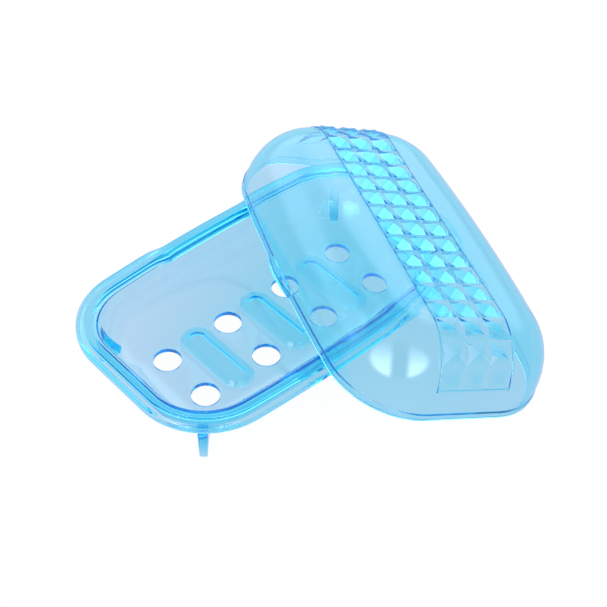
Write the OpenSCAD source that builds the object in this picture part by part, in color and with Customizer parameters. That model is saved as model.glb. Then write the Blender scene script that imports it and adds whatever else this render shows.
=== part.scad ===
// Two-piece soap box in clear tinted plastic: a footed drain tray, and a
// domed lid with a studded band that leans open on the tray's rim.
// Millimetres, +Z up. The origin is the middle of the whole box's footprint,
// on the surface that the legs and the lid's lower edge stand on.

/* [Outline] */
// Length of the tray over its flange
tray_l = 111; // [100:0.2:124]
// Width of the tray over its flange
tray_w = 67.8; // [60:0.2:76]
// Radius of the plan's four corners
corner_r = 21.7; // [20.5:0.1:25]

/* [Tray shell] */
// Thickness of the tray's bowl wall
wall = 1.4; // [1:0.1:2]
// Thickness of the tray's floor
floor_t = 1.4; // [1:0.1:2.2]
// Height of the floor's underside over the standing surface
foot_h = 2.2; // [2:0.1:6]
// Depth of the tray from the top of its bead to the floor
tray_depth = 16.6; // [14.5:0.1:22]
// Radius inside the bowl between wall and floor
bowl_r = 12.6; // [9:0.1:13.5]
// Slope of the bevel between the bead and the bowl
bevel_w = 1.6; // [0.8:0.1:2]

/* [Tray rim] */
// Width of the ledge that the closed lid stands on
ledge_w = 2.4; // [2:0.1:3]
// Width of the raised bead inside the ledge
bead_w = 2.5; // [2:0.1:3]
// Height of the bead over the ledge
bead_h = 1.2; // [0.6:0.1:2]
// Thickness of the flange that forms the ledge
flange_t = 1.5; // [1:0.1:1.8]
// Height of the skirt that hangs round the flange
skirt_h = 2.5; // [2:0.1:3.5]
// Thickness of the skirt
skirt_t = 1.3; // [0.8:0.1:1.6]
// How far the flange dips in the middle of each long side
dip_h = 1.4; // [0.4:0.1:1.8]
// Length of the level bottom of each dip
dip_l = 24; // [16:1:44]
// Length of the slope at each end of a dip
dip_ease = 9; // [8:1:14]

/* [Floor] */
// Diameter of the drain holes
hole_d = 8; // [5:0.5:9]
// Number of drain holes along the tray
hole_cols = 4; // [2:1:4]
// Spacing of the drain holes and ribs along the tray
pitch_x = 22; // [18:0.5:24]
// Spacing of the two rows of drain holes
pitch_y = 16.7; // [13:0.1:19]
// Number of raised ribs that hold the soap off the floor
rib_count = 3; // [1:2:3]
// Length of a rib
rib_l = 28; // [22:0.5:29]
// Width of a rib
rib_w = 10.8; // [8:0.2:12]
// Height of a rib over the floor
rib_h = 1.7; // [1:0.1:2.4]

/* [Legs] */
// Thickness of a leg's fin under the flange
leg_t = 3.2; // [2.4:0.1:4]
// Thickness of a leg's fin at its tip
leg_tip_t = 2; // [1.6:0.1:3]
// Width of a leg's tip, measured out from the corner's centre
leg_tip_w = 2.2; // [1.8:0.1:3.5]
// Distance of the leg's tip from the corner's centre
leg_reach = 15.6; // [13.5:0.1:16]

/* [Lid shell] */
// Gap between the lid's outline and the flange's, all round
lid_margin = 0.1; // [0:0.05:0.4]
// Height of the lid over its rim
lid_h = 22.2; // [19:0.2:30]
// Thickness of the lid's wall
lid_t = 1.4; // [1:0.1:1.8]
// Height of the thicker lip round the lid's rim
lip_h = 2.1; // [1.5:0.1:3]
// How far the lip stands proud of the wall above it
lip_out = 0.35; // [0.2:0.05:0.5]
// Distance from the outline to the lid's level top
shoulder = 16.6; // [14:0.2:19]
// Length of the thumb tab in the middle of each long side
tab_l = 18; // [12:1:24]
// How far a thumb tab stands out of the rim
tab_out = 1.3; // [0.6:0.1:2]
// Height of a thumb tab
tab_h = 1.8; // [1.2:0.1:2]

/* [Studded band] */
// Width of the band over its raised borders
band_w = 22.8; // [18:0.2:25]
// Width of the raised border line
border_w = 0.7; // [0.5:0.1:1]
// Height of the raised border line
border_h = 0.35; // [0.2:0.05:0.6]
// Number of studs across the band
stud_cols = 3; // [2:1:4]
// Number of stud rows along the band
stud_rows = 18; // [10:2:18]
// Length of a stud along the band
stud_pitch = 6.65; // [5.5:0.05:6.8]
// Height of a stud on the level top
stud_h = 1.15; // [0.6:0.05:1.6]

/* [Resting place of the lid] */
// Turn of the lid's long axis from the tray's
lid_turn = 67; // [55:0.2:80]
// Place of the lid's middle along the tray
lid_x = 29.4; // [26:0.2:34]
// Place of the lid's middle across the tray
lid_y = -13.2; // [-16:0.2:-8]
// Clearance where the lid's rim lies on the tray's bead
rest_gap = 0.1; // [0.05:0.05:0.3]

/* [Hidden] */
tint = [0.45, 0.82, 0.95, 0.6];
lid_tint = [0.55, 0.86, 0.97, 0.55];
$fn = 96;
// Facets of a bowed side's very large circle
bow_fn = 360;
// Steps of a quarter round in a section
steps = 12;
// Overlap that joins a solid to the one that carries it
bite = 0.4;
// Small excess that carries a cut past the face it opens
over = 1;
// Tiny excess that keeps the faces of two crossing strips apart
hair = 0.05;

// The outline has straight ends, round corners and bowed long sides, all
// tangent. Inward offsets of it share the arcs' centres. The sine and cosine
// of the angle that half a side turns through are short decimals, so the
// pieces of a swept ring meet without a step.
half_l = tray_l / 2;
half_w = tray_w / 2;
side_turn = asin(0.07584);
corner_x = half_l - corner_r;
bow_run = round(1000 * corner_x / sin(side_turn)) / 1000;
side_r = corner_r + bow_run;
corner_y = round(1000 * (half_w - side_r + bow_run * cos(side_turn))) / 1000;

// Heights of the tray, from the standing surface up
floor_z = foot_h + floor_t;
rim_z = floor_z + tray_depth;
ledge_z = rim_z - bead_h;
flange_z = ledge_z - flange_t;
skirt_z = ledge_z - skirt_h;
bowl_z = floor_z + bowl_r;

// Distances of the tray's section, inward from the outline
bead_in = ledge_w + bead_w;
bowl_in = bead_in + bevel_w;
bowl_c = bowl_in + bowl_r;
edge_r = 0.4;
floor_in = bowl_c + 2 * bite;

// The lid's own outline and section
lip_in = lid_margin + lip_out + lid_t;
lip_z = lip_h + lip_out;
top_in = lid_margin + shoulder;
arc_w = top_in - lid_margin - lip_out;
arc_h = lid_h - lip_z;
in_arc_w = top_in - lip_in;
in_arc_h = arc_h - lid_t;
core_in = top_in + bite;

// The tilt at which the lid's lower tab touches the standing surface and
// the inner edge of its raised rim lies on the bead, at the farther of the
// two places where it crosses the bead.
function half_width_at(x, d) = x > corner_x
    ? corner_y + sqrt(pow(corner_r - d, 2) - pow(x - corner_x, 2))
    : half_w - side_r + sqrt(pow(side_r - d, 2) - x * x);
lid_half_w = half_w - lid_margin;
lid_low = lid_half_w + tab_out;
rest_x = max([for (s = [-1, 1], k = [0.9, 1])
    abs(s * (half_w - ledge_w) - lid_y - k * lid_half_w * cos(lid_turn)) / sin(lid_turn)]);
lid_tilt = asin((rim_z + rest_gap) / (lid_low + half_width_at(rest_x, lip_in)));
lid_lift = lid_low * sin(lid_tilt);

// A point of the outline, d inward, for a plan angle of 0 to 360
function arc_points(c, r, from, to, n) =
    [for (i = [0:n]) let (t = from + (to - from) * i / n) c + r * [cos(t), sin(t)]];
function quarter(d) = concat([[half_l - d, 0]],
    arc_points([corner_x, corner_y], corner_r - d, 0, 90 - side_turn, 14),
    arc_points([0, half_w - side_r], side_r - d, 90 - side_turn, 90, 4));
function back(q) = [for (i = [len(q) - 1:-1:0]) q[i]];
function around(q) =
    let (b = back(q)) concat(q, [for (p = b) [-p.x, p.y]], [for (p = q) -p], [for (p = b) [p.x, -p.y]]);

// Where a point of the lid stands once the lid is leaned on the tray
function leaned(p) =
    let (y = p.y * cos(lid_tilt) - p.z * sin(lid_tilt))
    [lid_x + p.x * cos(lid_turn) - y * sin(lid_turn), lid_y + p.x * sin(lid_turn) + y * cos(lid_turn)];

// Half of the lid's middle section, as inset and height, at t from 0 to 90
function dome_in(t) = lid_margin + lip_out + arc_w * (1 - cos(t));
function dome_z(t) = lip_z + arc_h * sin(t);

// The footprint's middle, which becomes the origin
tab_points = [for (s = [-1, 1], x = [-tab_l / 8, 0, tab_l / 8]) leaned([x, s * lid_low, 0])];
reach = concat(around(quarter(0)), tab_points,
    [for (t = [0:6:48], p = around(quarter(dome_in(t)))) leaned([p.x, p.y, dome_z(t)])],
    [for (p = around(quarter(lid_margin)), z = [0, lip_h]) leaned([p.x, p.y, z])]);
mid_x = (max([for (p = reach) p.x]) + min([for (p = reach) p.x])) / 2;
mid_y = (max([for (p = reach) p.y]) + min([for (p = reach) p.y])) / 2;

module each_quarter() {
    for (m = [0, 1], n = [0, 1]) mirror([m, 0, 0]) mirror([0, n, 0]) children();
}

// Sweeps a section along the outline. In the section, x runs outward from
// the outline and y runs up. Each quarter has half a bowed side, a corner
// and half an end, cut where the next one begins.
module sweep_sides() {
    each_quarter() intersection() {
        translate([corner_x, corner_y, 0]) rotate([0, 0, 90 - side_turn]) translate([-bow_run, 0, 0])
            rotate_extrude(angle = side_turn + over, $fn = bow_fn) translate([side_r, 0]) children();
        translate([0, 0, -over]) cube([tray_l, tray_w, tray_l]);
    }
}

module sweep_round() {
    sweep_sides() children();
    each_quarter() {
        intersection() {
            translate([corner_x, corner_y, 0]) rotate([0, 0, 90 - side_turn]) mirror([0, 1, 0])
                rotate_extrude(angle = 90) translate([corner_r, 0]) children();
            translate([0, corner_y, -over]) cube([tray_l, tray_w, tray_l]);
        }
        translate([half_l, corner_y, 0]) rotate([90, 0, 0]) linear_extrude(corner_y) children();
    }
}

// The level middle of a shell, d inward of the outline
module middle(d) {
    polygon(around(quarter(d)));
}

// The tray's section: skirt, flange, ledge, bead, wall, bowl and floor
module tray_section() {
    polygon(concat(
        [[0, skirt_z], [0, ledge_z - edge_r], [-edge_r * 0.3, ledge_z - edge_r * 0.3], [-edge_r, ledge_z]],
        [[-ledge_w, ledge_z], [-ledge_w, rim_z - edge_r]],
        [[-ledge_w - edge_r * 0.3, rim_z - edge_r * 0.3], [-ledge_w - edge_r, rim_z]],
        [[-bead_in + edge_r, rim_z], [-bead_in + edge_r * 0.3, rim_z - edge_r * 0.3]],
        [[-bead_in, rim_z - edge_r]],
        [for (i = [0:steps]) let (t = 90 * i / steps)
            [-bowl_c + bowl_r * cos(t), bowl_z - bowl_r * sin(t)]],
        [[-floor_in, floor_z], [-floor_in, foot_h]],
        [for (i = [steps:-1:0]) let (t = 90 * i / steps)
            [-bowl_c + (bowl_r + wall) * cos(t), bowl_z - (bowl_r + floor_t) * sin(t)]],
        [[-bowl_in + wall, flange_z], [-skirt_t, flange_z], [-skirt_t, skirt_z]]));
}

// Height that the ledge dips by at x along a long side
function dip(x) =
    let (u = min(1, max(0, (dip_l / 2 + dip_ease - abs(x)) / dip_ease))) dip_h * u * u * (3 - 2 * u);
dip_end = dip_l / 2 + dip_ease;
dip_line = [for (i = [-24:24]) let (x = dip_end * i / 24) [x, ledge_z - dip(x)]];

// A side view outline pulled straight across the whole tray
module across() {
    rotate([90, 0, 0]) linear_extrude(tray_w + 4 * over, center = true) children();
}

// Space over the dipped ledge, outside the bead
module dip_cut() {
    intersection() {
        sweep_sides() translate([-ledge_w, skirt_z]) square([ledge_w + over, skirt_h + over]);
        across() polygon(concat(dip_line, [[dip_end, ledge_z + over], [-dip_end, ledge_z + over]]));
    }
}

// Flange under the dipped ledge
module dip_flange() {
    intersection() {
        sweep_sides() translate([-ledge_w - bite, skirt_z]) square([ledge_w + bite, skirt_h]);
        across() polygon(concat(dip_line,
            [for (i = [24:-1:-24]) let (x = dip_end * i / 24) [x, max(skirt_z, flange_z - dip(x))]]));
    }
}

// Soft-edged obround pillow, lying along y
module pillow(l, w, h) {
    e = w / 2;
    half = [[0, -bite], [e, -bite], [e, 0], [e - h * 0.16, h * 0.35], [e - h * 0.36, h * 0.65],
            [e - h * 0.66, h * 0.87], [e - h * 1.05, h * 0.97], [e - h * 1.4, h], [0, h]];
    run = l - w;
    for (m = [0, 1]) mirror([0, m, 0]) translate([0, run / 2, 0]) rotate_extrude() polygon(half);
    rotate([90, 0, 0]) linear_extrude(run, center = true)
        polygon(concat(half, [for (i = [len(half) - 1:-1:0]) [-half[i].x, half[i].y]]));
}

module each_rib() {
    for (i = [0:rib_count - 1]) translate([(i - (rib_count - 1) / 2) * pitch_x, 0, 0]) children();
}

// One leg: a radial fin, wide under the flange and narrow at its round tip
module leg() {
    tip_r = leg_tip_w / 2;
    root_out = corner_r - bowl_in + wall - 0.2;
    root_in = leg_reach - 0.3 * bowl_r;
    intersection() {
        rotate([90, 0, 0]) linear_extrude(leg_t, center = true) difference() {
            union() {
                translate([leg_reach, tip_r]) circle(tip_r, $fn = 32);
                polygon([[leg_reach - tip_r, tip_r], [leg_reach + tip_r, tip_r],
                         [root_out, flange_z + bite], [root_out - wall, flange_z + bite],
                         [root_in, foot_h + bite * 2]]);
            }
            // Only the outside of the bowl carries the fin
            translate([corner_r - bowl_c, bowl_z]) circle(bowl_r + bite);
        }
        rotate([90, 0, 90]) linear_extrude(corner_r)
            polygon([[-leg_tip_t / 2, 0], [leg_tip_t / 2, 0], [leg_t / 2, bowl_z / 2], [leg_t / 2, rim_z],
                     [-leg_t / 2, rim_z], [-leg_t / 2, bowl_z / 2]]);
    }
}

module tray_solid() {
    difference() {
        union() {
            difference() {
                sweep_round() tray_section();
                dip_cut();
            }
            dip_flange();
            translate([0, 0, foot_h]) linear_extrude(floor_t) middle(bowl_c + bite);
            translate([0, 0, floor_z]) each_rib() pillow(rib_l, rib_w, rib_h);
            each_quarter() translate([corner_x, corner_y, 0]) rotate([0, 0, 45]) leg();
        }
        // Each rib is hollow under its crown
        translate([0, 0, foot_h]) each_rib() pillow(rib_l - 2 * floor_t, rib_w - 2 * floor_t, rib_h - 0.2);
        for (i = [0:hole_cols - 1], s = [-1, 1])
            translate([(i - (hole_cols - 1) / 2) * pitch_x, s * pitch_y / 2, foot_h - over])
                cylinder(d = hole_d, h = floor_t + rib_h + 2 * over);
    }
}

// The lid's section: lip, quarter-elliptical shoulder and the top's edge
module lid_section() {
    polygon(concat(
        [[-lid_margin, 0], [-lid_margin, lip_h]],
        [for (i = [0:steps]) let (t = 90 * i / steps) [-dome_in(t), dome_z(t)]],
        [[-core_in - bite, lid_h], [-core_in - bite, lid_h - lid_t]],
        [for (i = [steps:-1:0]) let (t = 90 * i / steps)
            [-lip_in - in_arc_w * (1 - cos(t)), lip_z + in_arc_h * sin(t)]],
        [[-lip_in, 0]]));
}

// The lid's long middle section as one line over the top, g outside it.
// s is the distance along it from the middle.
top_run = half_l - top_in;
arc_n = 90;
arc_at = [for (i = [0:arc_n]) let (t = 90 - 90 * i / arc_n) [half_l - dome_in(t), dome_z(t)]];
function run_sum(i) = i == 0 ? 0 : run_sum(i - 1) + norm(arc_at[i] - arc_at[i - 1]);
arc_run = [for (i = [0:arc_n]) top_run + run_sum(i)];
steps_at = [for (i = [0:arc_n]) [arc_run[i], i]];
function turn_at(s) = abs(s) <= top_run ? 90 : 90 - 90 * lookup(abs(s), steps_at) / arc_n;
function line_at(s, g = 0) =
    let (t = turn_at(s), side = s < 0 ? -1 : 1,
         n = t == 90 ? [0, 1] : [cos(t) / arc_w, sin(t) / arc_h] / norm([cos(t) / arc_w, sin(t) / arc_h]))
    abs(s) <= top_run ? [s, lid_h + g] : [side * (half_l - dome_in(t) + g * n.x), dome_z(t) + g * n.y];
function lean_at(s) = let (a = line_at(s - 0.2), b = line_at(s + 0.2)) atan2(a.y - b.y, b.x - a.x);

band_half = stud_rows / 2 * stud_pitch;

// Raised border of the studded band
module border() {
    n = 60;
    // The side lines end inside the cross lines, which pass them by a hair
    side_line = band_half + border_w / 4;
    strip = concat(
        [for (i = [-n:n]) line_at(side_line * i / n, border_h)],
        [for (i = [n:-1:-n]) line_at(side_line * i / n, -lid_t / 2)]);
    for (m = [-1, 1]) translate([0, m * (band_w - border_w) / 2, 0])
        rotate([90, 0, 0]) linear_extrude(border_w, center = true) polygon(strip);
    for (m = [-1, 1]) let (p = line_at(m * band_half, (border_h - lid_t / 2) / 2))
        translate([p.x, 0, p.y]) rotate([0, lean_at(m * band_half), 0])
            cube([border_w, band_w + 2 * hair, border_h + lid_t / 2], center = true);
}

// Field of four-sided studs between the borders, as one closed strip
module studs() {
    lift = 0.12;
    sink = -lid_t / 2;
    field_w = band_w - border_w;
    cell_w = field_w / stud_cols;
    function knot(i, j, g) =
        let (p = line_at((i - stud_rows / 2) * stud_pitch, g)) [p.x, (j - stud_cols / 2) * cell_w, p.y];
    function peak(i, j) =
        let (s = (i + 0.5 - stud_rows / 2) * stud_pitch,
             p = line_at(s, lift + stud_h * (0.3 + 0.7 * cos(lean_at(s)))))
        [p.x, (j + 0.5 - stud_cols / 2) * cell_w, p.y];
    row = stud_cols + 1;
    tops = [for (i = [0:stud_rows], j = [0:stud_cols]) knot(i, j, lift)];
    unders = [for (i = [0:stud_rows], j = [0:stud_cols]) knot(i, j, sink)];
    peaks = [for (i = [0:stud_rows - 1], j = [0:stud_cols - 1]) peak(i, j)];
    u0 = len(tops);
    p0 = 2 * u0;
    crown = [for (i = [0:stud_rows - 1], j = [0:stud_cols - 1])
        let (a = i * row + j, b = a + 1, c = a + row + 1, d = a + row, k = p0 + i * stud_cols + j)
        each [[a, b, k], [b, c, k], [c, d, k], [d, a, k]]];
    base = [for (i = [0:stud_rows - 1], j = [0:stud_cols - 1]) let (a = u0 + i * row + j)
        [a, a + row, a + row + 1, a + 1]];
    long_edges = [for (i = [0:stud_rows - 1], j = [0, stud_cols]) let (a = i * row + j, b = a + row)
        j == 0 ? [a, b, b + u0, a + u0] : [b, a, a + u0, b + u0]];
    end_edges = [for (j = [0:stud_cols - 1], i = [0, stud_rows]) let (a = i * row + j, b = a + 1)
        i == 0 ? [b, a, a + u0, b + u0] : [a, b, b + u0, a + u0]];
    polyhedron(concat(tops, unders, peaks), concat(crown, base, long_edges, end_edges));
}

// Solid thumb tab on the lip, a slice of a round disc
module thumb_tab() {
    tab_r = (tab_l * tab_l / 4 + tab_out * tab_out) / (2 * tab_out);
    linear_extrude(tab_h) intersection() {
        translate([0, lid_low - tab_r]) circle(tab_r, $fn = 360);
        translate([-tab_l / 2, lid_half_w - lid_t / 2]) square([tab_l, lid_t + tab_out]);
    }
}

module lid_solid() {
    sweep_round() lid_section();
    translate([0, 0, lid_h - lid_t]) linear_extrude(lid_t) middle(core_in);
    border();
    studs();
    for (m = [0, 1]) mirror([0, m, 0]) thumb_tab();
}

module tray() {
    color(tint) translate([-mid_x, -mid_y, 0]) tray_solid();
}

module lid() {
    color(lid_tint) translate([lid_x - mid_x, lid_y - mid_y, lid_lift])
        rotate([lid_tilt, 0, lid_turn]) lid_solid();
}

tray();
lid();
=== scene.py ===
"""Soap box of clear blue plastic: a footed drain tray and a domed lid leaning open on it."""

import logging
import math
from collections.abc import Callable
from dataclasses import dataclass, field
from enum import Enum

import bpy
import bmesh
from mathutils import Matrix, Vector

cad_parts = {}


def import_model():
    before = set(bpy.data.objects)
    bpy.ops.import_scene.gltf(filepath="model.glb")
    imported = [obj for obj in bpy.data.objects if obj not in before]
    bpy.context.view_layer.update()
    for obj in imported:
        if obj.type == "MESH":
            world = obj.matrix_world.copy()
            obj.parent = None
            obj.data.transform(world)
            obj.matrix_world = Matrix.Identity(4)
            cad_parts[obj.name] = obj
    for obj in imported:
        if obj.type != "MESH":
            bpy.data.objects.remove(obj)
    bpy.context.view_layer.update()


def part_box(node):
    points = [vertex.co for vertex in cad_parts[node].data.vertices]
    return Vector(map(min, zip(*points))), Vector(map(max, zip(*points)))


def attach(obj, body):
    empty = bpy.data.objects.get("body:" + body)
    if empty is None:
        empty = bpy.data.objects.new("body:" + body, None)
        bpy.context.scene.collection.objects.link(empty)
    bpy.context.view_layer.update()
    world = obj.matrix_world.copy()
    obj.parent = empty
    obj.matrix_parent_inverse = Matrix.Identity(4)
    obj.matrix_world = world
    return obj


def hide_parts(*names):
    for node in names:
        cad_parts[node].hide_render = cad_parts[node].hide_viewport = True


log = logging.getLogger("soap_box")

MM = 0.001
SHARP_ANGLE = math.radians(13)
ROUND_STEPS = 10
LIP_STEPS = 9
Point = tuple[float, float]
Corner = tuple[float, float, float]
Rgb = tuple[float, float, float]
Sample = tuple[Vector, float, Vector]
Term = bpy.types.NodeSocket | float | Vector | tuple[float, float, float, float]
# Light that the blue plastic takes up in each millimetre, in red, green and blue
BLUE_LOSS: Rgb = (0.42, 0.06, 0.018)


class Side(Enum):
    """The four quarters of the plan, as signs of x and y, in order round it."""

    FAR_RIGHT = (1, 1)
    FAR_LEFT = (-1, 1)
    NEAR_LEFT = (-1, -1)
    NEAR_RIGHT = (1, -1)


class Ray(Enum):
    """The kinds of ray that the studio tells apart."""

    CAMERA = "Is Camera Ray"
    GLOSSY = "Is Glossy Ray"
    THROUGH = "Is Transmission Ray"


class Mixed(Enum):
    """What a mixing node mixes, with its type, its inputs and its output."""

    NUMBER = ("FLOAT", (0, 2, 3), 0)
    COLOUR = ("RGBA", (0, 6, 7), 2)


class Join(Enum):
    """How one closed form is put together with another."""

    UNION = "UNION"
    CUT = "DIFFERENCE"


@dataclass(frozen=True)
class Wiring:
    """Adds nodes to one node tree and links them.

    Args:
        tree: the node tree.
    """

    tree: bpy.types.NodeTree

    def node(self, kind: str) -> bpy.types.Node:
        """Adds a node of the given type."""
        return self.tree.nodes.new(kind)

    def feed(self, slot: bpy.types.NodeSocket, value: Term) -> None:
        """Gives a node its input.

        Args:
            slot: the input.
            value: a socket to link to it, or a plain value to set.
        """
        if isinstance(value, bpy.types.NodeSocket):
            self.tree.links.new(value, slot)
        else:
            slot.default_value = value

    def ray(self, kind: Ray) -> bpy.types.NodeSocket:
        """A socket that is 1 for rays of one kind and 0 for others."""
        return self.node("ShaderNodeLightPath").outputs[kind.value]

    def maths(self, operation: str, *terms: Term) -> bpy.types.NodeSocket:
        """Adds one node of arithmetic.

        Args:
            operation: what it does.
            terms: its inputs, in order.

        Returns:
            The result's socket.
        """
        node = self.node("ShaderNodeMath")
        node.operation = operation
        for slot, term in zip(node.inputs, terms):
            self.feed(slot, term)
        return node.outputs[0]

    def times(self, first: Term, *others: Term) -> bpy.types.NodeSocket:
        """Multiplies two or more terms.

        Args:
            first: the first term.
            others: the terms that it is multiplied by.

        Returns:
            The product's socket.
        """
        product = first
        for other in others:
            product = self.maths("MULTIPLY", product, other)
        return product

    def vectors(self, operation: str, first: Term, second: Vector) -> bpy.types.NodeSocket:
        """Adds one node of vector arithmetic that gives a number.

        Args:
            operation: what it does.
            first: the vector that varies.
            second: the vector that doesn't.

        Returns:
            The result's socket.
        """
        node = self.node("ShaderNodeVectorMath")
        node.operation = operation
        self.feed(node.inputs[0], first)
        self.feed(node.inputs[1], second)
        return node.outputs["Value"]

    def eased(self, value: Term, edge: Point, ends: Point = (0.0, 1.0)) -> bpy.types.NodeSocket:
        """Adds a smooth step.

        Args:
            value: the socket that drives it.
            edge: the values at which it starts and stops.
            ends: the results before and after it.

        Returns:
            The result's socket.
        """
        node = self.node("ShaderNodeMapRange")
        node.interpolation_type = "SMOOTHSTEP"
        for slot, term in zip(node.inputs, (value, *edge, *ends)):
            self.feed(slot, term)
        return node.outputs[0]

    def mixed(
        self, share: Term, first: Term, second: Term, kind: Mixed = Mixed.NUMBER
    ) -> bpy.types.NodeSocket:
        """Mixes two numbers or two colours.

        Args:
            share: 0 for the first and 1 for the second.
            first: one of the two.
            second: the other.
            kind: what is mixed.

        Returns:
            The result's socket.
        """
        node = self.node("ShaderNodeMix")
        node.data_type, slots, out = kind.value
        for slot, term in zip(slots, (share, first, second)):
            self.feed(node.inputs[slot], term)
        return node.outputs[out]


@dataclass(frozen=True)
class ClearPlastic:
    """A tinted clear plastic, polished as it leaves the mould, whose body gives off a faint painted glow.

    Args:
        name: the material's name.
        slot: the record's material slot; not used.
        absorbs: light lost per millimetre in red, green and blue.
        painted_glow_tint: the colour of the faint painted glow that the plastic's body gives off in
            proportion to what it absorbs, which a very long way through the plastic tends to.
        roughness: roughness of the polished skin.
        ior: refractive index.
        ripple: depth in millimetres of the faint flow marks in the skin.
        flow_scale: how many flow marks there are to a metre.
        flow_detail: how many finer sizes of mark lie over the first.
    """

    name: str
    slot: str
    absorbs: Rgb
    painted_glow_tint: Rgb = (0.0, 0.16, 0.52)
    roughness: float = 0.03
    ior: float = 1.49
    ripple: float = 0.012
    flow_scale: float = 90.0
    flow_detail: float = 2.0

    def make(self) -> bpy.types.Material:
        """Builds the node material.

        Returns:
            The new material.
        """
        mat = bpy.data.materials.new(self.name)
        mat.use_nodes = True
        mat.node_tree.nodes.clear()
        wires = Wiring(mat.node_tree)
        out = wires.node("ShaderNodeOutputMaterial")
        flow = wires.node("ShaderNodeTexNoise")
        flow.inputs["Scale"].default_value = self.flow_scale
        flow.inputs["Detail"].default_value = self.flow_detail
        wires.feed(flow.inputs["Vector"], wires.node("ShaderNodeTexCoord").outputs["Object"])
        bump = wires.node("ShaderNodeBump")
        bump.inputs["Strength"].default_value = 1.0
        bump.inputs["Distance"].default_value = self.ripple * MM
        wires.feed(bump.inputs["Height"], flow.outputs["Fac"])
        skin = wires.node("ShaderNodeBsdfPrincipled")
        skin.inputs["Base Color"].default_value = (1, 1, 1, 1)
        skin.inputs["Transmission Weight"].default_value = 1.0
        skin.inputs["IOR"].default_value = self.ior
        skin.inputs["Roughness"].default_value = self.roughness
        wires.feed(skin.inputs["Normal"], bump.outputs["Normal"])
        wires.feed(out.inputs["Surface"], skin.outputs["BSDF"])
        most = max(self.absorbs)
        body = wires.node("ShaderNodeVolumeAbsorption")
        body.inputs["Density"].default_value = most / MM
        body.inputs["Color"].default_value = (*[1 - a / most for a in self.absorbs], 1)
        # Painted glow: the body emits a faint blue light in proportion to its absorption, standing in for
        # light scattered inside the plastic
        glow = wires.node("ShaderNodeEmission")
        glow.inputs["Strength"].default_value = 1 / MM
        glow.inputs["Color"].default_value = (*[a * d for a, d in zip(self.absorbs, self.painted_glow_tint)], 1)
        both = wires.node("ShaderNodeAddShader")
        wires.feed(both.inputs[0], body.outputs["Volume"])
        wires.feed(both.inputs[1], glow.outputs["Emission"])
        wires.feed(out.inputs["Volume"], both.outputs[0])
        return mat


@dataclass
class Outline:
    """Plan outline with straight ends, round corners and bowed long sides, in millimetres."""

    half_l: float = 55.5
    half_w: float = 33.9
    corner_r: float = 21.7
    side_sine: float = 0.07584
    corner_steps: int = 40
    side_steps: int = 16
    end_steps: int = 5

    @property
    def corner_x(self) -> float:
        """Distance of the corner circles' centres from the middle, along the length."""
        return self.half_l - self.corner_r

    @property
    def bow_run(self) -> float:
        """Distance from a bowed side's centre to the corner circle's centre."""
        return self.corner_x / self.side_sine

    @property
    def side_r(self) -> float:
        """Radius of a bowed side."""
        return self.corner_r + self.bow_run

    @property
    def corner_y(self) -> float:
        """Distance of the corner circles' centres from the middle, across."""
        return self.half_w - self.side_r + self.bow_run * math.sqrt(1 - self.side_sine**2)

    def quarter(self) -> list[Sample]:
        """Samples the quarter with x and y positive.

        Returns:
            For each sample its centre, its radius and its outward direction, so that a point
            d inward of the outline is centre + (radius - d) * direction.
        """
        turn = math.asin(self.side_sine)
        rays = []
        for i in range(self.end_steps):
            rays.append((Vector((0, self.corner_y * i / self.end_steps)), self.half_l, Vector((1, 0))))
        for i in range(self.corner_steps):
            t = (math.pi / 2 - turn) * i / self.corner_steps
            spot = Vector((self.corner_x, self.corner_y))
            rays.append((spot, self.corner_r, Vector((math.cos(t), math.sin(t)))))
        for i in range(self.side_steps + 1):
            t = math.pi / 2 - turn * (1 - i / self.side_steps)
            spot = Vector((0, self.half_w - self.side_r))
            rays.append((spot, self.side_r, Vector((math.cos(t), math.sin(t)))))
        return rays

    def rays(self) -> list[Sample]:
        """Samples the whole outline, once round.

        Returns:
            The same tuples as quarter(), mirrored into all four quarters.
        """
        quarter = self.quarter()
        turned = []
        for side in Side:
            m, n = side.value
            part = [(Vector((m * c.x, n * c.y)), r, Vector((m * u.x, n * u.y))) for c, r, u in quarter]
            if m * n < 0:
                part.reverse()
            turned.extend(part[:-1])
        return turned


def rounded(points: list[Corner], steps: int) -> list[Point]:
    """Rounds the corners of an open line.

    Args:
        points: corners as x, y and the radius of the round there.
        steps: segments of each round.

    Returns:
        The line's points, from the first to the last.
    """
    line: list[Point] = [points[0][:2]]
    for before, here, after in zip(points, points[1:], points[2:]):
        p, a, b = Vector(here[:2]), Vector(before[:2]), Vector(after[:2])
        to_a, to_b = (a - p).normalized(), (b - p).normalized()
        half = to_a.angle(to_b) / 2
        reach = here[2] / math.tan(half) if here[2] > 0 else 0.0
        if reach < 1e-6:
            line.append((p.x, p.y))
            continue
        start, stop = p + to_a * reach, p + to_b * reach
        centre = p + (to_a + to_b).normalized() * (here[2] / math.sin(half))
        for i in range(steps + 1):
            q = start.lerp(stop, i / steps)
            q = centre + (q - centre).normalized() * here[2]
            line.append((q.x, q.y))
    line.append(points[-1][:2])
    return line


def arc(centre: Point, radii: Point, start: float, stop: float, steps: int) -> list[Point]:
    """Points of an elliptical arc.

    Args:
        centre: centre of the ellipse.
        radii: its half axes along x and y.
        start: first angle in degrees.
        stop: last angle in degrees.
        steps: number of segments.

    Returns:
        The points, both ends included.
    """
    made = []
    for i in range(steps + 1):
        t = math.radians(start + (stop - start) * i / steps)
        made.append((centre[0] + radii[0] * math.cos(t), centre[1] + radii[1] * math.sin(t)))
    return made


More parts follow.
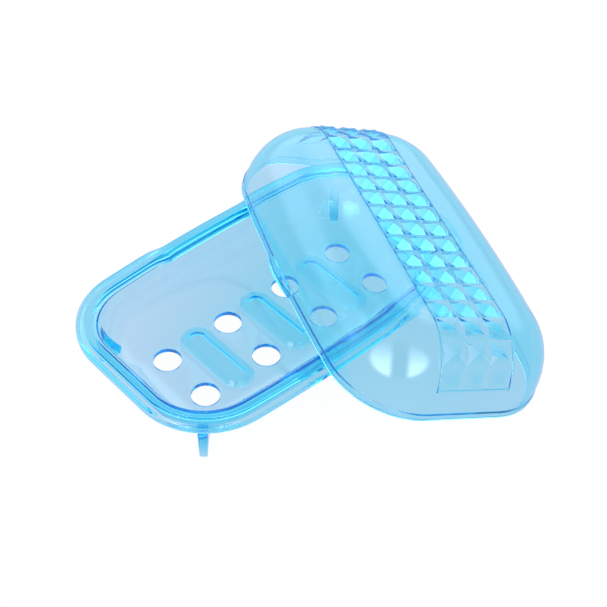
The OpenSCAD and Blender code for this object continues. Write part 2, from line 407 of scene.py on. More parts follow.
class Form:
    """A closed mesh under construction, in millimetres."""

    def __init__(self, verts: list[Vector], faces: list[list[int]]) -> None:
        """Makes the mesh and turns its faces outward.

        Args:
            verts: the vertices.
            faces: the vertex numbers of each face.
        """
        self.mesh = bpy.data.meshes.new("form")
        self.mesh.from_pydata([tuple(v) for v in verts], [], faces)
        self._face_outward()

    def _face_outward(self) -> None:
        """Merges vertices that coincide and turns every face outward."""
        work = bmesh.new()
        work.from_mesh(self.mesh)
        bmesh.ops.remove_doubles(work, verts=work.verts, dist=1e-5)
        bmesh.ops.recalc_face_normals(work, faces=work.faces)
        work.to_mesh(self.mesh)
        work.free()

    def moved(self, place: Matrix) -> "Form":
        """A copy of the form in another place.

        Args:
            place: the matrix that moves it, which may mirror it.

        Returns:
            The new form.
        """
        copy = object.__new__(Form)
        copy.mesh = self.mesh.copy()
        copy.mesh.transform(place)
        copy._face_outward()
        return copy

    def joined(self, others: list["Form"], how: Join) -> "Form":
        """Joins or cuts the form with others.

        Args:
            others: the forms to add or take away.
            how: whether they are added or taken away.

        Returns:
            This form, changed.
        """
        scene = bpy.context.scene.collection
        base = bpy.data.objects.new("base", self.mesh)
        scene.objects.link(base)
        tools = []
        for other in others:
            tool = bpy.data.objects.new("tool", other.mesh)
            scene.objects.link(tool)
            tools.append(tool)
            step = base.modifiers.new("step", "BOOLEAN")
            step.operation = how.value
            step.solver = "EXACT"
            step.object = tool
        graph = bpy.context.evaluated_depsgraph_get()
        self.mesh = bpy.data.meshes.new_from_object(base.evaluated_get(graph))
        for spent in [base, *tools]:
            bpy.data.objects.remove(spent)
        return self

    def softened(self, width: float, segments: int = 3, above: float = 30.0) -> "Form":
        """Rounds the form's edges.

        Args:
            width: width of the round.
            segments: segments across it.
            above: least angle in degrees of an edge that is rounded.

        Returns:
            This form, changed.
        """
        base = bpy.data.objects.new("base", self.mesh)
        bpy.context.scene.collection.objects.link(base)
        step = base.modifiers.new("round", "BEVEL")
        step.width = width
        step.segments = segments
        step.limit_method = "ANGLE"
        step.angle_limit = math.radians(above)
        graph = bpy.context.evaluated_depsgraph_get()
        self.mesh = bpy.data.meshes.new_from_object(base.evaluated_get(graph))
        bpy.data.objects.remove(base)
        return self

    def place(self, name: str, node: str, where: Matrix, finish: ClearPlastic) -> bpy.types.Object:
        """Puts the finished form in the scene as the piece that stands for a solid.

        Args:
            name: the piece's name.
            node: the solid that it stands for.
            where: matrix from the form's own millimetres to the part's frame in metres.
            finish: its plastic.

        Returns:
            The new object.
        """
        mesh = self.mesh
        mesh.transform(where)
        for poly in mesh.polygons:
            poly.use_smooth = True
        mesh.set_sharp_from_angle(angle=SHARP_ANGLE)
        mesh.materials.clear()
        mesh.materials.append(finish.make())
        piece = bpy.data.objects.new(name, mesh)
        bpy.context.scene.collection.objects.link(piece)
        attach(piece, "root")
        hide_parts(node)
        log.info("%s: %d faces", name, len(mesh.polygons))
        return piece


def swept(
    rays: list[Sample],
    section: list[Point],
    lift: Callable[[float, float, float], float] | None = None,
    shift: Callable[[Vector, float], float] | None = None,
) -> Form:
    """Sweeps an open section round an outline, and closes both its ends with flat caps.

    Args:
        rays: the outline's samples.
        section: inset and height of each point.
        lift: optional function of place, inset and height that gives a change of height.
        shift: optional function of direction and inset that gives the inset there.

    Returns:
        The closed form.
    """
    verts, faces = [], []
    count = len(rays)
    for d, z in section:
        for centre, radius, out in rays:
            p = centre + (radius - (shift(out, d) if shift else d)) * out
            verts.append(Vector((p.x, p.y, z + (lift(p.x, d, z) if lift else 0.0))))
    for k in range(len(section) - 1):
        for i in range(count):
            j = (i + 1) % count
            faces.append([k * count + i, k * count + j, (k + 1) * count + j, (k + 1) * count + i])
    last = (len(section) - 1) * count
    faces.append(list(range(count)))
    faces.append([last + i for i in range(count)])
    return Form(verts, faces)


def obround(length: float, width: float, steps: int = 28) -> list[Sample]:
    """Outline of a slot shape that lies along y.

    Args:
        length: length over its round ends.
        width: width.
        steps: segments of each round end.

    Returns:
        Samples in the form that swept() takes.
    """
    run = (length - width) / 2
    rays = []
    for sign in (1, -1):
        for i in range(steps + 1):
            t = math.pi * i / steps + (0 if sign > 0 else math.pi)
            rays.append((Vector((0, sign * run)), width / 2, Vector((math.cos(t), math.sin(t)))))
    return rays


def disc(radius: float, steps: int = 64) -> list[Sample]:
    """Outline of a circle.

    Args:
        radius: its radius.
        steps: segments once round.

    Returns:
        Samples in the form that swept() takes.
    """
    turns = [2 * math.pi * i / steps for i in range(steps)]
    return [(Vector((0, 0)), radius, Vector((math.cos(t), math.sin(t)))) for t in turns]


def clamp(u: float) -> float:
    """The number, held between 0 and 1."""
    return min(1.0, max(0.0, u))


def s_curve(u: float) -> float:
    """A smooth rise from 0 to 1 as u goes from 0 to 1."""
    return u * u * (3 - 2 * u)


def between(first: list[Vector], second: list[Vector]) -> Form:
    """A closed form between two outlines that have as many points.

    Args:
        first: one outline.
        second: the other.

    Returns:
        The closed form.
    """
    n = len(first)
    faces = [list(range(n)), [n + i for i in range(n)]]
    faces += [[i, (i + 1) % n, n + (i + 1) % n, n + i] for i in range(n)]
    return Form([*first, *second], faces)


@dataclass
class Tray:
    """The footed drain tray, one moulding. Sizes in millimetres, heights over the table."""

    outline: Outline
    finish: ClearPlastic
    # Bowl and floor
    foot_h: float = 2.2
    floor_t: float = 1.4
    wall: float = 1.4
    depth: float = 16.6
    bowl_r: float = 12.6
    bowl_steps: int = 26
    flat_in: float = 1.2
    # Rim: bevel, bead, ledge, flange and skirt. The lid rests at rest_in from the outline
    bevel_w: float = 1.7
    bevel_h: float = 1.8
    ledge_w: float = 2.2
    rest_in: float = 2.4
    bead_w: float = 2.6
    bead_h: float = 1.2
    bead_slope: float = 0.15
    flange_t: float = 1.5
    skirt_h: float = 2.5
    skirt_t: float = 1.3
    end_less: float = 0.95
    # Radii of the rim's edges
    edge_r: float = 0.8
    bead_r: Point = (0.45, 0.4)
    root_r: float = 0.35
    soft_r: float = 0.3
    # Dip in the middle of each long side, and how it fades out up the bead and down the skirt
    dip_h: float = 1.4
    dip_l: float = 24.0
    dip_ease: float = 9.0
    dip_top: Point = (0.3, 0.6)
    dip_foot: Point = (0.02, 0.5)
    # Drain holes, with the excess of their cutters, and ribs
    hole_d: float = 8.0
    hole_edge: float = 0.3
    hole_over: float = 0.4
    hole_steps: int = 5
    hole_cols: int = 4
    pitch_x: float = 22.0
    pitch_y: float = 16.7
    rib_count: int = 3
    rib_l: float = 28.0
    rib_w: float = 10.8
    rib_h: float = 1.7
    rib_slope: float = 2.3
    rib_step: float = 0.02
    rib_steps: int = 16
    rib_core: float = 0.6
    rib_sunk: Point = (0.3, 0.35)
    hollow_less_h: float = 1.1
    hollow_in: float = 1.7
    # Legs, sunk in the bowl and the flange
    leg_t: float = 3.2
    leg_tip_t: float = 2.0
    leg_tip_w: float = 2.2
    leg_reach: float = 15.6
    leg_sweep: float = 54.0
    leg_grip: float = 0.6
    leg_sunk: Point = (0.15, 0.4)
    leg_soft: float = 0.3
    leg_steps: int = 12

    @property
    def floor_z(self) -> float:
        """Height of the floor's top."""
        return self.foot_h + self.floor_t

    @property
    def rim_z(self) -> float:
        """Height of the bead's top."""
        return self.floor_z + self.depth

    @property
    def ledge_z(self) -> float:
        """Height of the ledge."""
        return self.rim_z - self.bead_h

    @property
    def bead_in(self) -> float:
        """Inset of the bead's inner edge."""
        return self.ledge_w + self.bead_w

    @property
    def bowl_c(self) -> float:
        """Inset of the bowl fillet's centre."""
        return self.bead_in + self.bevel_w + self.bowl_r

    @property
    def bowl_z(self) -> float:
        """Height of the bowl fillet's centre."""
        return self.floor_z + self.bowl_r

    def section(self) -> list[Point]:
        """The swept section, from the floor's top over the rim to the floor's underside.

        Returns:
            Inset and height of each point.
        """
        skirt_z = self.ledge_z - self.skirt_h
        flange_z = self.ledge_z - self.flange_t
        middle = self.bowl_c + self.flat_in
        outer = self.bowl_c - self.bowl_r - self.wall
        centre, soft = (self.bowl_c, self.bowl_z), self.soft_r
        line: list[Point] = [(middle, self.floor_z)]
        line += arc(centre, (self.bowl_r, self.bowl_r), 270, 180, self.bowl_steps)
        rim: list[Corner] = [
            (self.bead_in + self.bevel_w, self.bowl_z, 0),
            (self.bead_in + self.bevel_w, self.rim_z - self.bevel_h, soft),
            (self.bead_in, self.rim_z, self.bead_r[0]),
            (self.ledge_w + self.bead_slope, self.rim_z, self.bead_r[1]),
            (self.ledge_w, self.ledge_z, soft),
            (0, self.ledge_z, self.edge_r),
            (0, skirt_z, soft),
            (self.skirt_t, skirt_z, soft),
            (self.skirt_t, flange_z, soft),
            (outer, flange_z, self.root_r),
            (outer, self.bowl_z, 0),
        ]
        line += rounded(rim, ROUND_STEPS)[1:-1]
        line += arc(centre, (self.bowl_r + self.wall, self.bowl_r + self.floor_t), 180, 270, self.bowl_steps)
        line.append((middle, self.foot_h))
        return line

    def narrowed(self, out: Vector, inset: float) -> float:
        """Inset of a point of the section, which is a little narrower at the tray's ends.

        Args:
            out: outward direction there.
            inset: the point's inset on the long sides.

        Returns:
            The inset there.
        """
        rim = self.bead_in + self.bevel_w
        return inset - self.end_less * out.x * out.x * clamp((inset - self.skirt_t) / rim)

    def dip(self, x: float, inset: float, z: float) -> float:
        """Change of height where the ledge dips in the middle of a long side.

        Args:
            x: distance along the tray.
            inset: distance inward of the outline.
            z: height before the change.

        Returns:
            The change, zero or below.
        """
        if inset > self.bead_in + self.soft_r:
            return 0.0
        low = self.ledge_z - self.skirt_h
        drop = self.dip_h * s_curve(clamp((self.dip_l / 2 + self.dip_ease - abs(x)) / self.dip_ease))
        fade_up = clamp((self.rim_z - self.dip_top[0] - z) / self.dip_top[1])
        fade_down = clamp((z - low) / self.dip_foot[1])
        return -min(drop * fade_up * fade_down, max(0.0, z - low - self.dip_foot[0]))

    def pillow(self, z: float, step: float, height: float, less: float) -> Form:
        """A soft obround rib, which swells from its foot to its crown in an S-curve.

        Args:
            z: height of the surface that it stands on.
            step: height of its foot over that surface, negative for a cut.
            height: height of its crown over that surface.
            less: how far its outline lies inside the rib's.

        Returns:
            The closed form, with its foot sunk below z.
        """
        out, deep = self.rib_sunk
        line: list[Point] = [(less - out, z - deep), (less - out, z + step)]
        for i in range(self.rib_steps + 1):
            t = i / self.rib_steps
            line.append((less + self.rib_slope * t, z + step + (height - step) * s_curve(t)))
        line.append((self.rib_w / 2 - self.rib_core, z + height))
        return swept(obround(self.rib_l, self.rib_w), line)

    def hole_cutter(self) -> Form:
        """The form that cuts a drain hole with rounded edges.

        Returns:
            The closed form, on the z axis.
        """
        edge, over = self.hole_edge, self.hole_over
        line: list[Point] = [(-edge - over, self.foot_h - over)]
        line += arc((-edge, self.foot_h + edge), (edge, edge), -90, 0, self.hole_steps)
        line += arc((-edge, self.floor_z - edge), (edge, edge), 0, 90, self.hole_steps)
        line.append((-edge - over, self.floor_z + over))
        return swept(disc(self.hole_d / 2), line)

    def leg(self) -> Form:
        """One fin leg, in its own radial plane.

        Returns:
            The closed form, with x running out from the corner's centre.
        """
        tip = self.leg_tip_w / 2
        flange_z = self.ledge_z - self.flange_t
        c = self.outline.corner_r - self.bowl_c
        grip = self.bowl_r + self.leg_grip
        inward, up = self.leg_sunk
        line: list[Point] = arc((self.leg_reach, tip), (tip, tip), 180, 360, self.leg_steps)
        line.append((c + self.bowl_r + self.wall - inward, flange_z + up))
        line.append((c + grip, flange_z + up))
        line += arc((c, self.bowl_z), (grip, grip), 0, -self.leg_sweep, self.leg_steps)

        def half(z: float) -> float:
            """Half the fin's thickness at a height."""
            return (self.leg_tip_t + (self.leg_t - self.leg_tip_t) * min(1.0, z / (self.bowl_z / 2))) / 2

        near, far = ([Vector((x, s * half(z), z)) for x, z in line] for s in (-1, 1))
        return between(near, far).softened(self.leg_soft)

    def build(self, middle: Vector) -> bpy.types.Object:
        """Builds and places the tray.

        Args:
            middle: the tray's middle on the table, in the part's frame in metres.

        Returns:
            The tray's object.
        """
        form = swept(self.outline.rays(), self.section(), self.dip, self.narrowed)
        ribs, hollows, holes, legs = [], [], [], []
        for i in range(self.rib_count):
            shift = Matrix.Translation(((i - (self.rib_count - 1) / 2) * self.pitch_x, 0, 0))
            ribs.append(self.pillow(self.floor_z, self.rib_step, self.rib_h, 0.0).moved(shift))
            deep = self.rib_h - self.hollow_less_h
            hollows.append(self.pillow(self.foot_h, -self.rib_step, deep, self.hollow_in).moved(shift))
        for i in range(self.hole_cols):
            for s in (-1, 1):
                x = (i - (self.hole_cols - 1) / 2) * self.pitch_x
                holes.append(self.hole_cutter().moved(Matrix.Translation((x, s * self.pitch_y / 2, 0))))
        out = Matrix.Translation((self.outline.corner_x, self.outline.corner_y, 0))
        for side in Side:
            m, n = side.value
            flip = Matrix.Diagonal((m, n, 1, 1))
            legs.append(self.leg().moved(flip @ out @ Matrix.Rotation(math.pi / 4, 4, "Z")))
        form = form.joined(ribs + legs, Join.UNION).joined(hollows + holes, Join.CUT)
        where = Matrix.Translation(middle) @ Matrix.Scale(MM, 4)
        return form.place("tray_moulding", "tray", where, self.finish)


@dataclass
class Lid:
    """The domed lid with its studded band, one moulding. Sizes in millimetres."""

    outline: Outline
    finish: ClearPlastic
    # Shell and lip, with the radii of the lip's edges from its root round to the inside
    margin: float = 0.1
    height: float = 22.2
    wall: float = 1.4
    lip_h: float = 2.1
    lip_out: float = 0.35
    lip_r: tuple[float, float, float, float] = (0.2, 0.25, 0.35, 0.3)
    shoulder: float = 16.6
    dome_steps: int = 40
    flat_in: float = 0.4
    # Thumb tabs
    tab_l: float = 18.0
    tab_out: float = 1.3
    tab_h: float = 1.8
    tab_foot: float = 0.01
    tab_soft: float = 0.3
    tab_steps: int = 24
    # Studded band, with the half section of its raised border as shares of width and height
    band_w: float = 22.8
    border_w: float = 0.7
    border_h: float = 0.35
    border_half: tuple[Point, ...] = ((-1, 0.45), (-0.55, 0.9))
    border_steps: tuple[int, int] = (90, 10)
    stud_cols: int = 3
    stud_rows: int = 18
    stud_pitch: float = 6.65
    stud_h: float = 1.15
    stud_foot: float = 0.12
    stud_least: float = 0.3
    lean_step: float = 0.2
    # How it leans, with the turn in degrees
    turn: float = 67.0
    place_x: float = 29.4
    place_y: float = -13.2
    rest_gap: float = 0.1
    path: list[tuple[float, Point, Point]] = field(init=False, default_factory=list)

    @property
    def lip_in(self) -> float:
        """Inset of the lip's inner face."""
        return self.margin + self.lip_out + self.wall

    @property
    def lip_z(self) -> float:
        """Height at which the dome starts."""
        return self.lip_h + self.lip_out

    @property
    def top_in(self) -> float:
        """Inset at which the level top starts."""
        return self.margin + self.shoulder

    def half_width_at(self, x: float, inset: float) -> float:
        """Half the outline's width.

        Args:
            x: distance along the lid.
            inset: distance inward of the outline.

        Returns:
            The half width there.
        """
        o = self.outline
        if x > o.corner_x:
            return o.corner_y + math.sqrt((o.corner_r - inset) ** 2 - (x - o.corner_x) ** 2)
        return o.half_w - o.side_r + math.sqrt((o.side_r - inset) ** 2 - x * x)

    def resting(self, tray: Tray) -> Matrix:
        """Where the lid comes to rest on the tray and the table.

        Args:
            tray: the tray that it leans on.

        Returns:
            Matrix from the lid's own millimetres to millimetres round the tray's middle.
        """
        half = self.outline.half_w - self.margin
        low = half + self.tab_out
        turn = math.radians(self.turn)
        reach = max(
            abs(s * (self.outline.half_w - tray.rest_in) - self.place_y - k * half * math.cos(turn))
            / math.sin(turn)
            for s in (-1, 1)
            for k in (0.9, 1.0)
        )
        tilt = math.asin((tray.rim_z + self.rest_gap) / (low + self.half_width_at(reach, self.lip_in)))
        spot = Matrix.Translation((self.place_x, self.place_y, low * math.sin(tilt)))
        return spot @ Matrix.Rotation(turn, 4, "Z") @ Matrix.Rotation(tilt, 4, "X")

    def section(self) -> list[Point]:
        """The swept section, from the top's outside down to the rim and up the inside.

        Returns:
            Inset and height of each point.
        """
        start = self.margin + self.lip_out
        wide, high = self.top_in - start, self.height - self.lip_z
        middle = self.top_in + self.flat_in
        centre = (self.top_in, self.lip_z)
        line: list[Point] = [(middle, self.height)]
        line += arc(centre, (wide, high), 90, 180, self.dome_steps)[:-1]
        lip: list[Corner] = [
            (start, self.height, 0),
            (start, self.lip_z, self.lip_r[0]),
            (self.margin, self.lip_h, self.lip_r[1]),
            (self.margin, 0, self.lip_r[2]),
            (self.lip_in, 0, self.lip_r[3]),
            (self.lip_in, self.lip_z, 0),
        ]
        line += rounded(lip, LIP_STEPS)[1:-1]
        line += arc(centre, (self.top_in - self.lip_in, high - self.wall), 180, 90, self.dome_steps)
        line.append((middle, self.height - self.wall))
        return line

    def trace(self) -> None:
        """Fills path with the distance, place and outward direction along half the middle line."""
        start = self.margin + self.lip_out
        wide, high = self.top_in - start, self.height - self.lip_z
        flat = self.outline.half_l - self.top_in
        self.path = [(0.0, (0.0, self.height), (0.0, 1.0)), (flat, (flat, self.height), (0.0, 1.0))]
        steps = 360
        for i in range(1, steps + 1):
            t = math.pi / 2 * (1 - i / steps)
            here = (flat + wide * math.cos(t), self.lip_z + high * math.sin(t))
            out = Vector((math.cos(t) / wide, math.sin(t) / high)).normalized()
            run = self.path[-1][0] + math.dist(here, self.path[-1][1])
            self.path.append((run, here, (out.x, out.y)))

    def on_top(self, s: float, gap: float, y: float) -> Vector:
        """A point over the dome's middle line.

        Args:
            s: distance along the line from the lid's middle.
            gap: distance outside the dome.
            y: distance across.

        Returns:
            The point in the lid's own millimetres.
        """
        sign, s = (-1 if s < 0 else 1), abs(s)
        k = next((i for i in range(1, len(self.path)) if self.path[i][0] >= s), len(self.path) - 1)
        (s0, p0, n0), (s1, p1, n1) = self.path[k - 1], self.path[k]
        f = (s - s0) / (s1 - s0)
        out = Vector(n0).lerp(Vector(n1), f).normalized()
        p = Vector(p0).lerp(Vector(p1), f) + gap * out
        return Vector((sign * p.x, y, p.y))

    def lean_at(self, s: float) -> float:
        """Angle of the dome from level at a distance along its middle line."""
        a, b = (self.on_top(s + step, 0, 0) for step in (-self.lean_step, self.lean_step))
        return abs(math.atan2(a.z - b.z, b.x - a.x))

    def studs(self) -> Form:
        """The field of four-sided studs, as one closed strip sunk in the shell.

        Returns:
            The closed form.
        """
        lift, sink = self.stud_foot, -self.wall / 2
        cell = (self.band_w - self.border_w) / self.stud_cols
        rows, cols = self.stud_rows, self.stud_cols
        verts = []
        for gap in (lift, sink):
            for i in range(rows + 1):
                for j in range(cols + 1):
                    verts.append(self.on_top((i - rows / 2) * self.stud_pitch, gap, (j - cols / 2) * cell))
        peaks = len(verts)
        for i in range(rows):
            s = (i + 0.5 - rows / 2) * self.stud_pitch
            level = math.cos(self.lean_at(s))
            tall = lift + self.stud_h * (self.stud_least + (1 - self.stud_least) * level)
            for j in range(cols):
                verts.append(self.on_top(s, tall, (j + 0.5 - cols / 2) * cell))
        row, under = cols + 1, (rows + 1) * (cols + 1)
        faces = []
        for i in range(rows):
            for j in range(cols):
                a = i * row + j
                ring = [a, a + 1, a + row + 1, a + row]
                peak = peaks + i * cols + j
                faces += [[ring[k], ring[(k + 1) % 4], peak] for k in range(4)]
                faces.append([under + v for v in ring])
            for j in (0, cols):
                a = i * row + j
                faces.append([a, a + row, a + row + under, a + under])
        for j in range(cols):
            for i in (0, rows):
                a = i * row + j
                faces.append([a, a + 1, a + 1 + under, a + under])
        return Form(verts, faces)

    def border(self) -> list[Form]:
        """The raised line round the band, as four strips.

        Returns:
            The closed forms.
        """
        half = self.stud_rows / 2 * self.stud_pitch
        deep = -self.wall / 2
        rise = [(u, g * self.border_h) for u, g in self.border_half]
        fall = [(-u, g) for u, g in reversed(rise)]
        shape = [(-1, deep), *rise, (0, self.border_h), *fall, (1, deep)]

        def strip(spots: list[Point], wide: Vector) -> Form:
            """One bead of the border.

            Args:
                spots: distance along the dome and distance across, at each place on its line.
                wide: the direction of its width, along and across.

            Returns:
                The closed form.
            """
            verts, faces = [], []
            k = len(shape)
            for s, y in spots:
                for u, gap in shape:
                    off = u * self.border_w / 2
                    verts.append(self.on_top(s + off * wide.x, gap, y + off * wide.y))
            for i in range(len(spots) - 1):
                for m in range(k):
                    j = (m + 1) % k
                    faces.append([i * k + m, i * k + j, (i + 1) * k + j, (i + 1) * k + m])
            faces.append(list(range(k)))
            faces.append([(len(spots) - 1) * k + m for m in range(k)])
            return Form(verts, faces)

        edge = (self.band_w - self.border_w) / 2
        reach = half + self.border_w / 2
        n, m = self.border_steps
        strips = []
        for sign in (-1, 1):
            strips.append(strip([(reach * i / n, sign * edge) for i in range(-n, n + 1)], Vector((0, 1))))
            strips.append(strip([(sign * half, edge * i / m) for i in range(-m, m + 1)], Vector((1, 0))))
        return strips

    def tab(self, sign: int) -> Form:
        """A thumb tab on the lip.

        Args:
            sign: which long side it is on.

        Returns:
            The closed form.
        """
        half = self.outline.half_w - self.margin
        out = half + self.tab_out
        radius = (self.tab_l**2 / 4 + self.tab_out**2) / (2 * self.tab_out)
        swing = math.degrees(math.asin(self.tab_l / 2 / radius))
        plan = arc((0, out - radius), (radius, radius), 90 - swing, 90 + swing, self.tab_steps)
        plan += [(-self.tab_l / 2, half - self.wall / 2), (self.tab_l / 2, half - self.wall / 2)]
        low, high = ([Vector((x, sign * y, z)) for x, y in plan] for z in (self.tab_foot, self.tab_h))
        return between(low, high).softened(self.tab_soft, above=60)

    def build(self, middle: Vector, tray: Tray) -> bpy.types.Object:
        """Builds and places the lid.

        Args:
            middle: the tray's middle on the table, in the part's frame in metres.
            tray: the tray that it leans on.

        Returns:
            The lid's object.
        """
        self.trace()
        form = swept(self.outline.rays(), self.section())
        form = form.joined([self.studs(), *self.border(), self.tab(1), self.tab(-1)], Join.UNION)
        where = Matrix.Translation(middle) @ Matrix.Scale(MM, 4) @ self.resting(tray)
        return form.place("lid_moulding", "lid", where, self.finish)


def heading(turn: float, rise: float) -> Vector:
    """A direction.

    Args:
        turn: degrees in plan from the x axis.
        rise: degrees over the level.

    Returns:
        The unit vector.
    """
    t, r = math.radians(turn), math.radians(rise)
    return Vector((math.cos(r) * math.cos(t), math.cos(r) * math.sin(t), math.sin(r)))


@dataclass(frozen=True)
class Softbox:
    """A soft lamp that faces the object.

    Args:
        name: the lamp's name.
        turn: its direction in plan, in degrees from the x axis.
        rise: its height over the table, in degrees.
        size: its width and height in metres.
        watts: its power.
        away: its distance in millimetres.
        aim: the point it faces, in millimetres round the tray's middle.
    """

    name: str
    turn: float
    rise: float
    size: Point
    watts: float
    away: float = 1000.0
    aim: tuple[float, float, float] = (10.0, 0.0, 15.0)

    def hang(self, middle: Vector) -> bpy.types.Object:
        """Makes the lamp, which light alone shows and no mirrored or refracted ray does.

        Args:
            middle: the tray's middle on the table, in metres.

        Returns:
            The lamp.
        """
        data = bpy.data.lights.new(self.name, "AREA")
        data.shape = "RECTANGLE"
        data.size, data.size_y = self.size
        data.energy = self.watts
        lamp = bpy.data.objects.new(self.name, data)
        lamp.location = middle + heading(self.turn, self.rise) * self.away * MM
        aim = middle + Vector(self.aim) * MM - lamp.location
        lamp.rotation_mode = "QUATERNION"
        lamp.rotation_quaternion = aim.to_track_quat("-Z", "Y")
        lamp.visible_glossy = lamp.visible_transmission = False
        bpy.context.scene.collection.objects.link(lamp)
        return lamp


@dataclass
class Studio:
    """Camera, white table and soft light, all placed round the tray's middle in millimetres."""

    middle: Vector
    # The photograph's viewpoint, with the angles in degrees
    focal_px: float = 1220.1
    frame_px: float = 607.0
    elevation: float = 45.39
    yaw: float = 44.15
    roll: float = 2.18
    eye: tuple[float, float, float] = (-164.3, -180.5, 258.0)
    sensor_mm: float = 36.0
    bounces: int = 40
    # The studio's tone to plain, mirrored and refracted rays
    white: Rgb = (1.0, 1.0, 1.0)
    mirrored: Rgb = (0.80, 0.78, 0.90)
    open_air: Rgb = (1.15, 0.86, 0.96)
    # Two bright panels beside the camera, as sines of the angles from their middle
    panel_turn: float = -138.5
    panel_rise: float = 39.5
    panel_size: Point = (0.70, 0.48)
    panel_edge: Point = (1.12, 0.72)
    panel_front: Point = (0.0, 0.1)
    panel_fade: Point = (1.0, -0.8)
    panel_power: Point = (1.2, 8.5)
    panel_through: float = 0.03
    gap_at: float = 0.03
    gap_edge: Point = (0.13, 0.3)
    gap_power: float = 0.35
    # A glow behind the object, between two heights
    glow_turn: float = 60.0
    glow_side: Point = (-0.1, 0.5)
    glow_foot: Point = (0.12, 0.38)
    glow_top: Point = (0.74, 0.58)
    glow_power: float = 1.2
    # The white table, and the shade on it at distances from the lid's middle
    table_half: float = 3000.0
    table_z: float = -0.02
    table_matt: Rgb = (0.9, 0.9, 0.9)
    table_plain: float = 0.94
    shade_at: Point = (29.4, -13.2)
    shade: tuple[tuple[float, Rgb], ...] = (
        (30.0, (0.55, 0.68, 0.86)),
        (75.0, (0.86, 0.71, 0.89)),
        (130.0, (0.93, 0.82, 0.95)),
        (260.0, (1.08, 0.87, 0.98)),
    )
    lamps: tuple[Softbox, ...] = (
        Softbox("left_softbox", -172, 28, (0.46, 0.68), 5),
        Softbox("right_softbox", -110, 34, (0.46, 0.80), 6),
    )

    def at(self, x: float, y: float, z: float) -> Vector:
        """A place in the part's frame in metres, from millimetres round the tray's middle."""
        return self.middle + Vector((x, y, z)) * MM

    def camera(self) -> bpy.types.Object:
        """Makes the camera at the photograph's viewpoint.

        Returns:
            The camera.
        """
        e, w, r = (math.radians(v) for v in (self.elevation, self.yaw, self.roll))
        spin = Matrix.Rotation(w, 3, "Z")
        right, up = Vector((1, 0, 0)), Vector((0, math.sin(e), math.cos(e)))
        ahead = Vector((0, math.cos(e), -math.sin(e)))
        rows = [math.cos(r) * right + math.sin(r) * up, math.cos(r) * up - math.sin(r) * right, -ahead]
        axes = (Matrix(rows) @ spin).transposed()
        data = bpy.data.cameras.new("viewpoint")
        data.sensor_width = self.sensor_mm
        data.lens = self.focal_px * self.sensor_mm / self.frame_px
        data.clip_start, data.clip_end = 0.01, 20.0
        cam = bpy.data.objects.new("viewpoint", data)
        cam.matrix_world = Matrix.Translation(self.at(*self.eye)) @ axes.to_4x4()
        bpy.context.scene.collection.objects.link(cam)
        bpy.context.scene.camera = cam
        return cam

    def panels(self, wires: Wiring) -> bpy.types.NodeSocket:
        """Adds the nodes for the bright surroundings that the polished plastic mirrors.

        Two soft panels stand on either side of the camera, inside one round outline, and the
        horizon behind the object glows.

        Args:
            wires: the world's wiring.

        Returns:
            A strength for each direction.
        """
        sky = wires.node("ShaderNodeTexCoord").outputs["Generated"]
        ahead, side = heading(self.panel_turn, self.panel_rise), heading(self.panel_turn + 90, 0)
        axes = (ahead, side, ahead.cross(side), heading(self.glow_turn, 0), Vector((0, 0, 1)))
        front, across, up, back, height = (wires.vectors("DOT_PRODUCT", sky, axis) for axis in axes)
        gloss = wires.ray(Ray.GLOSSY)
        wide = wires.times(across, 1 / self.panel_size[0])
        tall = wires.times(up, 1 / self.panel_size[1])
        ring = wires.maths("ADD", wires.times(wide, wide), wires.times(tall, tall))
        inside = wires.times(
            wires.eased(ring, self.panel_edge),
            wires.eased(front, self.panel_front),
            wires.mixed(gloss, self.panel_through, 1.0),
        )
        off = wires.maths("ABSOLUTE", wires.maths("SUBTRACT", across, self.gap_at))
        lit = wires.times(
            wires.eased(off, self.gap_edge),
            wires.eased(tall, self.panel_fade, self.panel_power),
        )
        glow = wires.times(
            wires.eased(height, self.glow_foot),
            wires.eased(height, self.glow_top),
            wires.eased(back, self.glow_side),
            gloss,
            self.glow_power,
        )
        return wires.mixed(inside, wires.maths("ADD", glow, 1.0), wires.maths("ADD", lit, self.gap_power))

    def tone(self, wires: Wiring, through: Term) -> bpy.types.NodeSocket:
        """Adds the nodes that give the studio's own tone to each kind of ray.

        Args:
            wires: the wiring to add them to.
            through: the colour that shows through a clear body.

        Returns:
            The colour socket.
        """
        white, mirrored = (*self.white, 1), (*self.mirrored, 1)
        plain = wires.mixed(wires.ray(Ray.GLOSSY), white, mirrored, Mixed.COLOUR)
        return wires.mixed(wires.ray(Ray.THROUGH), plain, through, Mixed.COLOUR)

    def shaded(self, wires: Wiring) -> bpy.types.NodeSocket:
        """Adds the nodes for the tinted shade that clear plastic casts on the table.

        Args:
            wires: the table's wiring.

        Returns:
            The colour socket, which changes with the distance from the lid's middle.
        """
        place = wires.node("ShaderNodeTexCoord").outputs["Object"]
        away = wires.vectors("DISTANCE", place, self.at(*self.shade_at, self.table_z))
        ramp = wires.node("ShaderNodeValToRGB")
        while len(ramp.color_ramp.elements) < len(self.shade):
            ramp.color_ramp.elements.new(0.5)
        farthest = self.shade[-1][0]
        for stop, (reach, colour) in zip(ramp.color_ramp.elements, self.shade):
            stop.position = reach / farthest
            stop.color = (*colour, 1)
        wires.feed(ramp.inputs["Fac"], wires.maths("DIVIDE", away, farthest * MM))
        return ramp.outputs["Color"]

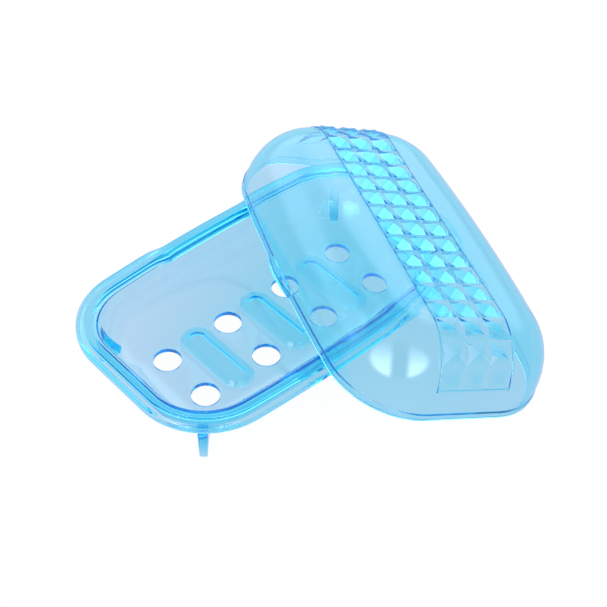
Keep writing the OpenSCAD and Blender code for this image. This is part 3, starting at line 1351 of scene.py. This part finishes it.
    def table(self) -> bpy.types.Object:
        """Makes the white table.

        Returns:
            The floor object.
        """
        mesh = bpy.data.meshes.new("table_top")
        half = self.table_half
        corners = [(-half, -half), (half, -half), (half, half), (-half, half)]
        mesh.from_pydata([self.at(x, y, self.table_z) for x, y in corners], [], [(0, 1, 2, 3)])
        mat = bpy.data.materials.new("white_table")
        mat.use_nodes = True
        mat.node_tree.nodes.clear()
        wires = Wiring(mat.node_tree)
        matt = wires.node("ShaderNodeBsdfDiffuse")
        matt.inputs["Color"].default_value = (*self.table_matt, 1)
        plain = wires.node("ShaderNodeEmission")
        wires.feed(plain.inputs["Color"], self.tone(wires, self.shaded(wires)))
        seen = wires.maths("MAXIMUM", wires.ray(Ray.CAMERA), wires.ray(Ray.GLOSSY))
        seen = wires.maths("MAXIMUM", seen, wires.ray(Ray.THROUGH))
        mix = wires.node("ShaderNodeMixShader")
        wires.feed(mix.inputs["Fac"], wires.times(seen, self.table_plain))
        wires.feed(mix.inputs[1], matt.outputs[0])
        wires.feed(mix.inputs[2], plain.outputs[0])
        wires.feed(wires.node("ShaderNodeOutputMaterial").inputs["Surface"], mix.outputs[0])
        mesh.materials.append(mat)
        top = bpy.data.objects.new("table_top", mesh)
        bpy.context.scene.collection.objects.link(top)
        return top

    def surroundings(self) -> bpy.types.World:
        """Sets the pale studio round the object.

        Returns:
            The world.
        """
        world = bpy.data.worlds.new("pale_studio")
        bpy.context.scene.world = world
        world.use_nodes = True
        world.node_tree.nodes.clear()
        wires = Wiring(world.node_tree)
        back = wires.node("ShaderNodeBackground")
        clear = wires.maths("MAXIMUM", wires.ray(Ray.GLOSSY), wires.ray(Ray.THROUGH))
        wires.feed(back.inputs["Color"], self.tone(wires, (*self.open_air, 1)))
        wires.feed(back.inputs["Strength"], wires.mixed(clear, 1.0, self.panels(wires)))
        wires.feed(wires.node("ShaderNodeOutputWorld").inputs["Surface"], back.outputs[0])
        return world

    def build(self) -> None:
        """Makes the whole studio."""
        scene = bpy.context.scene
        scene.view_settings.view_transform = "Standard"
        scene.cycles.max_bounces = self.bounces
        scene.cycles.transmission_bounces = self.bounces
        scene.cycles.glossy_bounces = self.bounces
        self.camera()
        self.table()
        self.surroundings()
        for lamp in self.lamps:
            lamp.hang(self.middle)
        log.info("studio: camera, table, pale world and %d soft lamps", len(self.lamps))


def main() -> None:
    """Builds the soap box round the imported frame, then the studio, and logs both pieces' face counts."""
    logging.basicConfig(level=logging.INFO, format="%(message)s")
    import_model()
    low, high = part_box("tray")
    middle = Vector(((low[0] + high[0]) / 2, (low[1] + high[1]) / 2, 0))
    outline = Outline()
    tray = Tray(outline, ClearPlastic("tray_blue", "tray_plastic", BLUE_LOSS))
    tray.build(middle)
    lid = Lid(outline, ClearPlastic("lid_blue", "lid_plastic", BLUE_LOSS))
    lid.build(middle, tray)
    Studio(middle).build()


if __name__ == "__main__":
    main()
